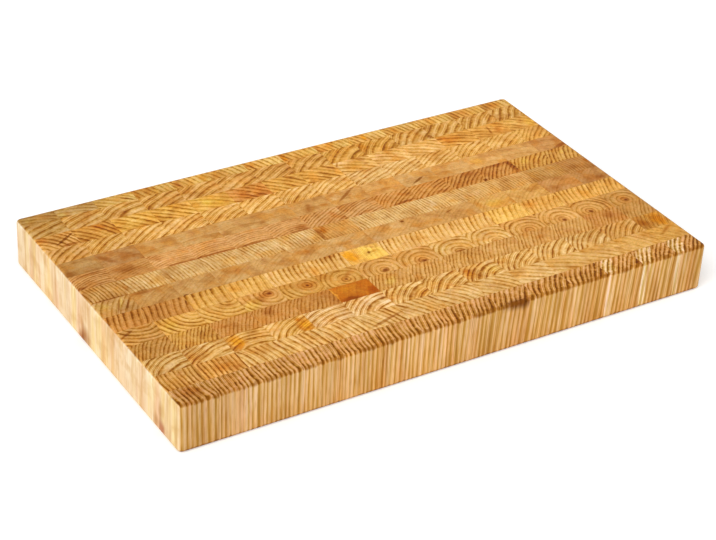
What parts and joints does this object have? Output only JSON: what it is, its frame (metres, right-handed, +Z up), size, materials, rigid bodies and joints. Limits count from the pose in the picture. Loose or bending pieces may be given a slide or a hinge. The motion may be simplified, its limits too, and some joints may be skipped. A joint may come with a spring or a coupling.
{
  "type": "butcher block cutting board",
  "caption": "Rectangular end-grain cutting board of glued softwood blocks in a square grid, with a flat top and underside and lightly rounded corners and edges.",
  "frame": {"origin": "middle of the underside", "axes": "+X along the board's length, -Y towards the front edge, +Z up out of the cutting surface"},
  "size_m": [0.508, 0.3048, 0.0445],
  "materials": {
    "larch_golden": "oiled, satin",
    "larch_brown": "oiled, satin",
    "larch_tan": "oiled, satin",
    "larch_rose": "oiled, satin",
    "larch_pale": "oiled, satin",
    "larch_mixed": "oiled, satin"
  },
  "bodies": {
    "root": {"left_end_block_01": "larch_brown", "left_end_block_02": "larch_brown", "left_end_block_03": "larch_golden", "left_end_block_04": "larch_tan", "left_end_block_05": "larch_tan", "left_end_block_06": "larch_golden", "left_end_block_07": "larch_tan", "left_end_block_08": "larch_tan", "left_end_block_09": "larch_rose", "left_end_block_10": "larch_tan", "left_end_block_11": "larch_pale", "left_end_block_12": "larch_golden", "left_end_block_13": "larch_brown", "left_end_block_14": "larch_golden", "right_end_block_01": "larch_brown", "right_end_block_02": "larch_brown", "right_end_block_03": "larch_golden", "right_end_block_04": "larch_tan", "right_end_block_05": "larch_tan", "right_end_block_06": "larch_golden", "right_end_block_07": "larch_tan", "right_end_block_08": "larch_tan", "right_end_block_09": "larch_rose", "right_end_block_10": "larch_tan", "right_end_block_11": "larch_pale", "right_end_block_12": "larch_golden", "right_end_block_13": "larch_brown", "right_end_block_14": "larch_golden", "strip_02": "larch_mixed", "strip_03": "larch_mixed", "strip_04": "larch_mixed", "strip_05": "larch_mixed", "strip_06": "larch_mixed", "strip_07": "larch_mixed", "strip_08": "larch_mixed", "strip_09": "larch_mixed", "strip_10": "larch_mixed", "strip_11": "larch_mixed", "strip_12": "larch_mixed", "strip_13": "larch_mixed"}
  },
  "joints": []
}
